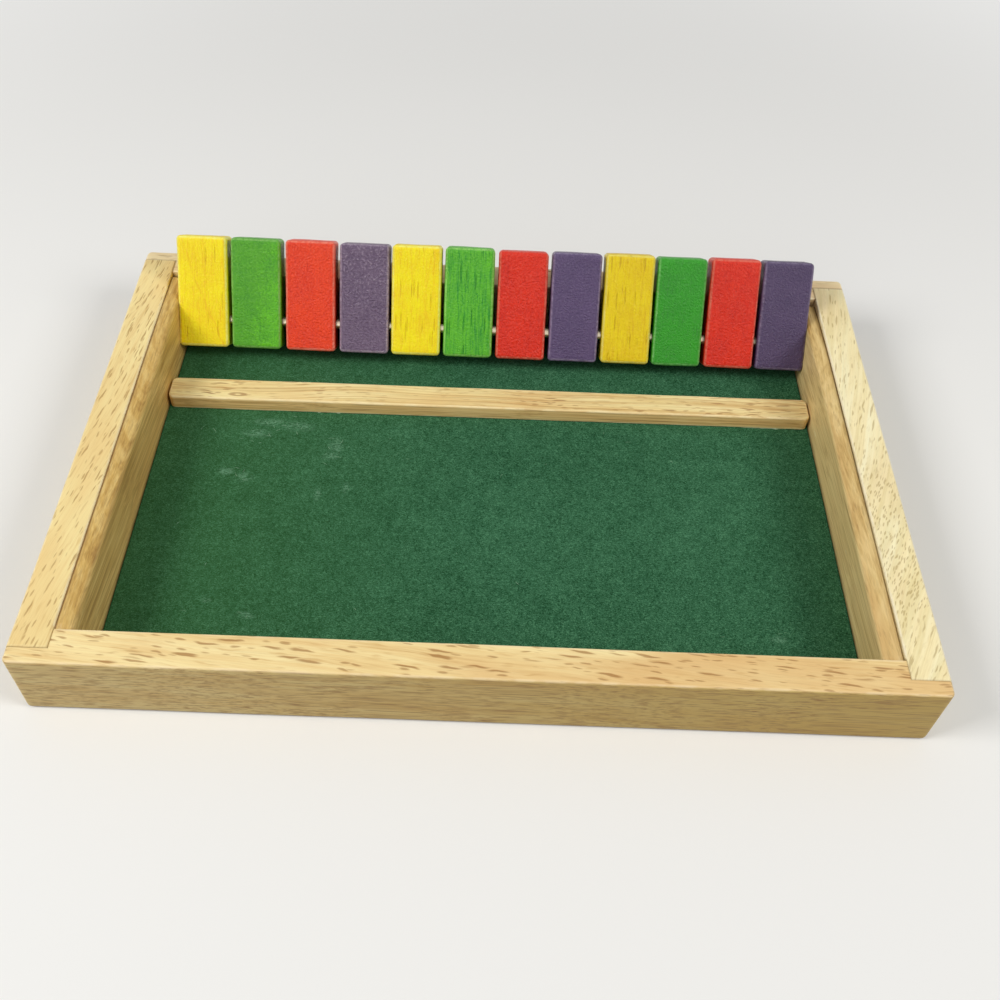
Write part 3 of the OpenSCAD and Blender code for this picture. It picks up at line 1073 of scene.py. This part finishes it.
def lint_material():
    t = Tree("lint")
    here = t.local()
    pale = t.noise(here, 0.6, 2.0)
    colour = t.mix(t.band(pale, 0.35, 0.65), srgb(84, 138, 100), srgb(146, 184, 154))
    return t.surface(Base_Color=colour, Roughness=0.9, Normal=t.bump(t.noise(here, 9.0), 0.3, 0.0001))


def lint():
    """Pale hairs on the felt, in tufts and alone."""
    draw = random.Random(5)
    spots = []
    for x, y, spread, count in LINT_TUFTS:
        spots += [(draw.gauss(x, spread), draw.gauss(y, spread * 0.6)) for _ in range(count)]
    low, high = box_mm("felt")
    spots += [(draw.uniform(low.x + 6, high.x - 6), draw.uniform(low.y + 6, 24))
              for _ in range(LOOSE_HAIRS)]
    bm = bmesh.new()
    for x, y in spots:
        start = Vector((x, y, felt_top + LINT_LIFT))
        hair(bm, start, draw.uniform(0, math.tau), draw.uniform(0.8, 2.4), draw.uniform(-2.0, 2.0))
    piece("felt_lint", bm, placed(), lint_material())


# Glue squeezed out along the bar's front foot: first and last X, the bead's place and its size
GLUE_RUNS = [(82, 97, 93.6, 0.3), (-56.2, -55, -55.6, 0.1), (-50.2, -48.6, -49.4, 0.1)]
GLUE_HEIGHT = 0.2
GLUE_STEP = 0.3


def glue_material():
    t = Tree("clear_glue")
    here = t.local()
    milk = t.noise(here, 0.8, 2.0)
    colour = t.mix(milk, srgb(128, 160, 128), srgb(184, 198, 170))
    return t.surface(Base_Color=colour, Roughness=t.scale_add(milk, 0.15, 0.06),
                     Normal=t.bump(t.noise(here, 1.4), 0.4, 0.0003), Specular_IOR_Level=0.6)


def glue():
    """Thin fillets of set glue between the bar and the felt."""
    centre = node_centre("rest_bar")
    bm = bmesh.new()
    for first, last, bead, size in GLUE_RUNS:
        steps = round((last - first) / GLUE_STEP)
        rings = []
        for i in range(steps + 1):
            x = first + (last - first) * i / steps
            foot = centre.y - BAR_DEPTH / 2 + (x - centre.x) * math.tan(BAR_SKEW) + BAR_FOOT
            swell = GLUE_HEIGHT * (0.8 + 0.5 * noise.noise(Vector((x / 1.7, first, 0))))
            swell += size * math.exp(-((x - bead) / 0.7) ** 2)
            swell *= math.sin(math.pi * (0.04 + 0.92 * i / steps)) ** 0.4
            rings.append([(x, foot + 0.3, felt_top - 0.15)])
            for k in range(6):
                turn = math.radians(90 * k / 5)
                rings[-1].append((x, foot - math.cos(turn) * swell * 1.5,
                                  felt_top - 0.05 + math.sin(turn) * swell))
        loft(bm, rings)
    bmesh.ops.recalc_face_normals(bm, faces=bm.faces)
    piece("glue_line", bm, placed(), glue_material())


end_rail("front_rail", turned(0), 3, FRONT_WOOD, slant=0.1, pith=(20, 90), crowd=0.31, coarse=1.3,
         brushed=0.3, warm=0.45, streaks=1.3, lines=1.25, lines_above=0.1, aged=(0.25, 0.65),
         worn=0.6, seam_depth=0.1)
end_rail("back_rail", turned(180), 7, BACK_WOOD, slant=0.02, pith=(20, 90))
side_rail("left_rail", turned(-90), 11, LEFT_WOOD, 0.8, pores=0.85, slant=0.16, pith=(25, 80),
          crowd=0.32, coarse=1.05, brushed=0.6, seam_depth=0.2)
side_rail("right_rail", turned(90), 14, RIGHT_WOOD, 0.4, slant=0.3, curve=-0.0012, pith=(25, 60),
          pores=0.85, crowd=0.36, streaks=1.2, fibre=0.6, speckled=(-34, 26), seam_depth=0.25)
side_strip("left_strip", turned(-90), -1, 17, STRIP_WOOD, 1.9, sag=0.8, dive=-0.12, pores=0.4,
           pith=(30, 14), fibre=1.2, lines=0.8, lines_above=0.7, streaks=2.4, ring=1.2,
           aged=(0.0, 0.15), seam_depth=0.8)
side_strip("right_strip", turned(90), 1, 21, RIGHT_STRIP_WOOD, 0.65, lean=(0.5, 1.1), sag=1.5,
           dive=0.1, pores=0.4, pith=(30, 14), lines=0.8, lines_above=0.45, streaks=1.7, ring=1.3,
           aged=(0.4, 0.4), worn=0.7, seam_depth=0.85,
           scuffs=[Vector((22.4, 2.15, -4.3)), Vector((-27.8, 2.15, -0.5))])
rest_bar(25)
felt_sheet()
lint()
glue()
for number, row in enumerate(TILE_ROWS, 1):
    tile(number, *row)
for node, look in (("pivot_rod", steel_material()), ("base_panel", board_material())):
    frame["nodes"][node].data.materials.clear()
    frame["nodes"][node].data.materials.append(look)


# ---- stage, lights and camera

# Floor: half its width, how far it lies below the feet, and where it fades, in metres
FLOOR_REACH = 4
FLOOR_DROP = 0.0003
FLOOR_FADE = (0.24, 0.62)

# Colour of the floor as it is seen and as it throws light back, and of the backdrop
FLOOR_SEEN = (0.88, 0.88, 0.87, 1)
FLOOR_BOUNCE = (0.25, 0.22, 0.2, 1)
BACKDROP = (0.93, 0.93, 0.92, 1)

AMBIENT = 0.42
WARM_WHITE = (1.0, 0.985, 0.95)
AIM = (0, 0, 0.01)


def floor():
    """Large pale floor that fades into the backdrop some way off.

    Light that bounces off it is held back, as from a darker table.
    """
    t = Tree("floor_pale")
    path = t.node("LightPath").outputs
    seen = t.max(path["Is Camera Ray"], t.max(path["Is Glossy Ray"], path["Is Transmission Ray"]))
    pale = t.node("BsdfDiffuse", {"Color": FLOOR_SEEN}).outputs[0]
    far = t.length(t.node("TexCoord").outputs["Object"])
    backdrop = t.node("Emission", {"Color": BACKDROP}).outputs[0]
    fading = t.node("MixShader", {0: t.band(far, *FLOOR_FADE), 1: pale, 2: backdrop}).outputs[0]
    dim = t.node("BsdfDiffuse", {"Color": FLOOR_BOUNCE}).outputs[0]
    look = t.end("MixShader", {0: seen, 1: dim, 2: fading})
    bm = bmesh.new()
    bmesh.ops.create_grid(bm, x_segments=1, y_segments=1, size=FLOOR_REACH)
    bm.transform(Matrix.Translation((0, 0, -FLOOR_DROP)))
    made = add_mesh("floor", bm)
    bm.free()
    made.data.materials.append(look)


def lamp(name, place, size, power, colour=(1, 1, 1)):
    """Square soft box that is aimed at the tray."""
    data = bpy.data.lights.new(name, "AREA")
    data.size = size
    data.energy = power
    data.color = colour
    made = add_object(name, data)
    made.location = place
    made.rotation_euler = (Vector(AIM) - Vector(place)).to_track_quat("-Z", "Y").to_euler()


def world():
    """Soft light from all round, behind which a camera sees the plain backdrop."""
    t = Tree("studio", bpy.data.worlds, "OutputWorld")
    path = t.node("LightPath").outputs
    seen = t.max(path["Is Camera Ray"], path["Is Glossy Ray"])
    ambient = t.node("Background", {"Strength": AMBIENT}).outputs[0]
    backdrop = t.node("Background", {"Color": BACKDROP}).outputs[0]
    bpy.context.scene.world = t.end("MixShader", {0: seen, 1: ambient, 2: backdrop})


# The photograph's camera: focal length and frame in pixels, place in millimetres, and angles
FOCAL_PIXELS = 1093.6
FRAME_PIXELS = 1000
CLIP_START = 0.01
CAMERA_PLACE = (-1.731, -220.408, 260.010)
CAMERA_DEGREES = (39.68, -2.18, 1.14)


def camera():
    """Camera at the photograph's place, found from the tray's corners."""
    data = bpy.data.cameras.new("camera")
    data.lens = FOCAL_PIXELS / FRAME_PIXELS * data.sensor_width
    data.clip_start = CLIP_START
    made = add_object("camera", data)
    made.location = Vector(CAMERA_PLACE) * MM
    made.rotation_euler = [math.radians(degrees) for degrees in CAMERA_DEGREES]
    bpy.context.scene.camera = made


floor()
world()
lamp("left", (-0.75, -0.25, 0.70), 0.40, 5.6, WARM_WHITE)
lamp("right", (0.75, -0.25, 0.70), 0.40, 4.4, WARM_WHITE)
lamp("front", (-0.40, -0.90, 0.60), 0.60, 0.9)
camera()
bpy.context.scene.view_settings.view_transform = "Standard"
